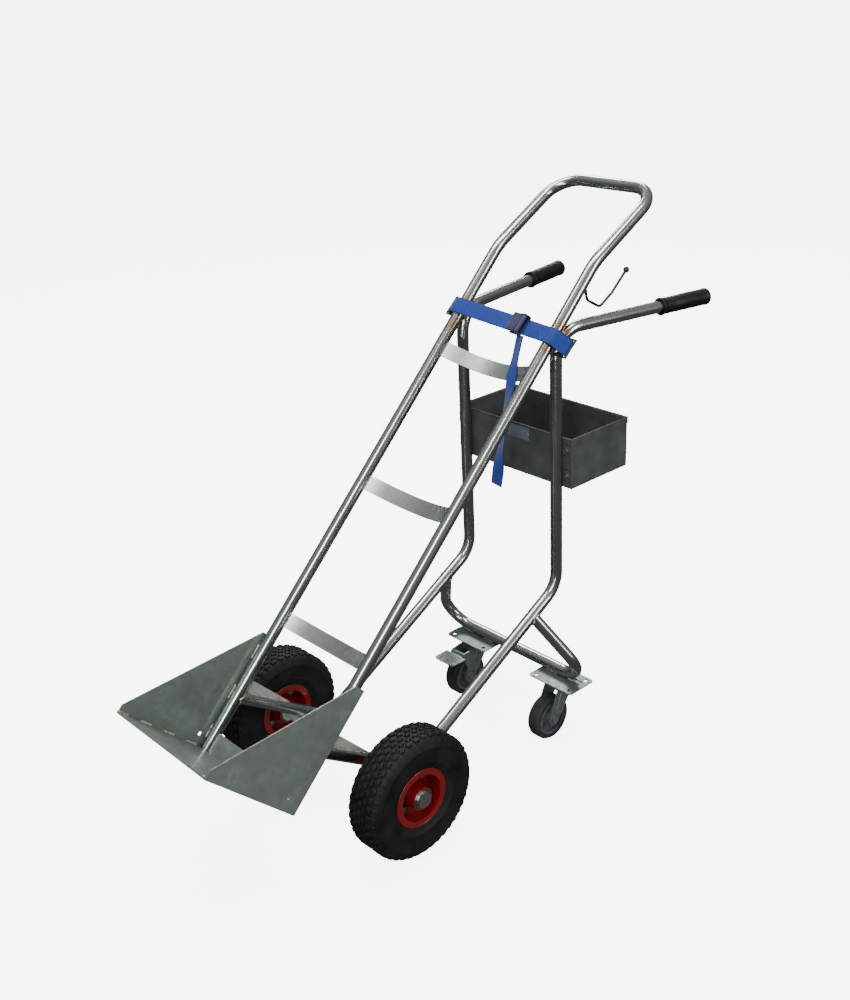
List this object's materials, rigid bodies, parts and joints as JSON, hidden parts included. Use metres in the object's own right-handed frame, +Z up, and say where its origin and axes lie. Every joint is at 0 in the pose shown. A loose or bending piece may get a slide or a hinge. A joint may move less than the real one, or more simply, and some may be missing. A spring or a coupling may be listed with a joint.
{
  "type": "hand truck",
  "caption": "Tubular hand truck with a scoop toe, rear castor legs, bowed cross plates, an open tool box, a hose hook and a lashing strap.",
  "frame": {"origin": "middle of the footprint, on the floor", "axes": "+X towards the operator's left, +Y towards the handles, +Z up"},
  "size_m": [0.5046, 1.2848, 1.1401],
  "materials": {
    "zinc_tube": "bright zinc plated",
    "bright_bar": "bright zinc plated",
    "galvanised_sheet": "grey-green galvanised sheet",
    "grey_steel": "satin",
    "tyre_rubber": "matte",
    "red_rim": "gloss red paint",
    "bearing_steel": "machined",
    "valve_rubber": "matte",
    "castor_rubber": "matte",
    "castor_core": "matte",
    "castor_steel": "zinc plated",
    "box_paint": "dark grey-green paint",
    "label": "blank plate",
    "grip_rubber": "matte",
    "webbing": "woven polyester",
    "buckle_steel": "dark navy",
    "hook_steel": "black",
    "dark_steel": "black",
    "fastener_steel": "zinc plated"
  },
  "bodies": {
    "frame": {"axle": "grey_steel", "axle_caps": "fastener_steel", "axle_collars": "grey_steel", "axle_gussets": "grey_steel", "axle_washers": "fastener_steel", "bottom_cross_bar": "bright_bar", "buckle_frame": "buckle_steel", "buckle_pin": "buckle_steel", "castor_frame_tube": "zinc_tube", "hook_knob": "hook_steel", "hose_hook": "hook_steel", "label_plate": "label", "left_castor_kingpin": "castor_steel", "left_castor_plate": "castor_steel", "left_grip": "grip_rubber", "left_side_tube": "zinc_tube", "left_toe_wing": "galvanised_sheet", "lower_cross_plate": "bright_bar", "main_hoop_tube": "zinc_tube", "middle_cross_plate": "bright_bar", "right_castor_kingpin": "castor_steel", "right_castor_plate": "castor_steel", "right_grip": "grip_rubber", "right_side_tube": "zinc_tube", "right_toe_wing": "galvanised_sheet", "strap_left_web": "webbing", "strap_lugs": "dark_steel", "strap_right_web": "webbing", "strap_tail": "webbing", "toe_plate": "galvanised_sheet", "tool_box": "box_paint", "tool_box_bolts": "fastener_steel", "tool_box_lugs": "grey_steel", "upper_cross_plate": "bright_bar"},
    "left_wheel": {"left_wheel_bearings": "bearing_steel", "left_wheel_rim_bolts": "fastener_steel", "left_wheel_rim_inner": "red_rim", "left_wheel_rim_nuts": "fastener_steel", "left_wheel_rim_outer": "red_rim", "left_wheel_tyre": "tyre_rubber", "left_wheel_valve": "valve_rubber"},
    "right_wheel": {"right_wheel_bearings": "bearing_steel", "right_wheel_rim_bolts": "fastener_steel", "right_wheel_rim_inner": "red_rim", "right_wheel_rim_nuts": "fastener_steel", "right_wheel_rim_outer": "red_rim", "right_wheel_tyre": "tyre_rubber", "right_wheel_valve": "valve_rubber"},
    "left_castor_swivel": {"left_castor_axle_bolt": "castor_steel", "left_castor_fork": "castor_steel"},
    "right_castor_swivel": {"right_castor_axle_bolt": "castor_steel", "right_castor_brake_pin": "castor_steel", "right_castor_fork": "castor_steel"},
    "left_castor_wheel": {"left_castor_tread": "castor_rubber", "left_castor_wheel_core": "castor_core"},
    "right_castor_wheel": {"right_castor_tread": "castor_rubber", "right_castor_wheel_core": "castor_core"},
    "brake_pedal": {"right_castor_brake_pedal": "castor_steel"},
    "buckle_lever": {"buckle_lever": "buckle_steel"}
  },
  "joints": [
    {"name": "left_wheel_spin", "type": "hinge", "parent": "frame", "child": "left_wheel", "pos_m": [0.2105, -0.2466, 0.13], "axis": [1, 0, 0], "continuous": true},
    {"name": "right_wheel_spin", "type": "hinge", "parent": "frame", "child": "right_wheel", "pos_m": [-0.2105, -0.2466, 0.13], "axis": [1, 0, 0], "continuous": true},
    {"name": "left_castor_turn", "type": "hinge", "parent": "frame", "child": "left_castor_swivel", "pos_m": [0.146, 0.2524, 0.1], "axis": [0, 0, 1], "continuous": true},
    {"name": "left_castor_spin", "type": "hinge", "parent": "left_castor_swivel", "child": "left_castor_wheel", "pos_m": [0.146, 0.2094, 0.05], "axis": [1, 0, 0], "continuous": true},
    {"name": "right_castor_turn", "type": "hinge", "parent": "frame", "child": "right_castor_swivel", "pos_m": [-0.113, 0.2524, 0.1], "axis": [0, 0, 1], "continuous": true},
    {"name": "right_castor_spin", "type": "hinge", "parent": "right_castor_swivel", "child": "right_castor_wheel", "pos_m": [-0.113, 0.2094, 0.05], "axis": [1, 0, 0], "continuous": true},
    {"name": "brake_pedal_press", "type": "hinge", "parent": "right_castor_swivel", "child": "brake_pedal", "pos_m": [-0.113, 0.1924, 0.107], "axis": [1, 0, 0], "range_deg": [0, 8], "stiffness_Nm_per_rad": 0.4, "springref_deg": -8.59},
    {"name": "buckle_lever_lift", "type": "hinge", "parent": "frame", "child": "buckle_lever", "pos_m": [0.05987, 0.2301, 0.91228], "axis": [0.0645, 0.7069, 0.7044], "range_deg": [0, 90]}
  ]
}
